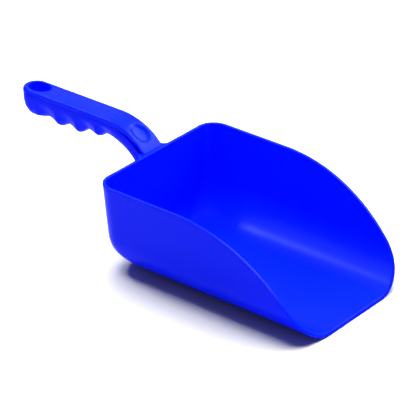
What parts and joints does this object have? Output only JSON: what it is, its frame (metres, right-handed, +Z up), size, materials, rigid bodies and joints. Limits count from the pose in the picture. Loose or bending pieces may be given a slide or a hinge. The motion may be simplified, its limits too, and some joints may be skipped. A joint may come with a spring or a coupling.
{
  "type": "feed scoop",
  "caption": "Open-fronted plastic scoop with a level rim sweeping down to a straight lip and a finger-grooved handle with a hang hole.",
  "frame": {"origin": "middle of the overall length and width, on the surface that the flat floor rests on", "axes": "+X forward out of the scoop's mouth, +Y across the bowl, +Z up"},
  "size_m": [0.3856, 0.165, 0.1118],
  "materials": {
    "bowl_plastic": "satin-gloss blue polypropylene, moulded",
    "cover_plastic": "satin-gloss blue polypropylene, moulded",
    "grip_plastic": "satin-gloss blue polypropylene, moulded"
  },
  "bodies": {
    "root": {"bowl": "bowl_plastic", "handle_cover": "cover_plastic", "handle_grip": "grip_plastic"}
  },
  "joints": []
}
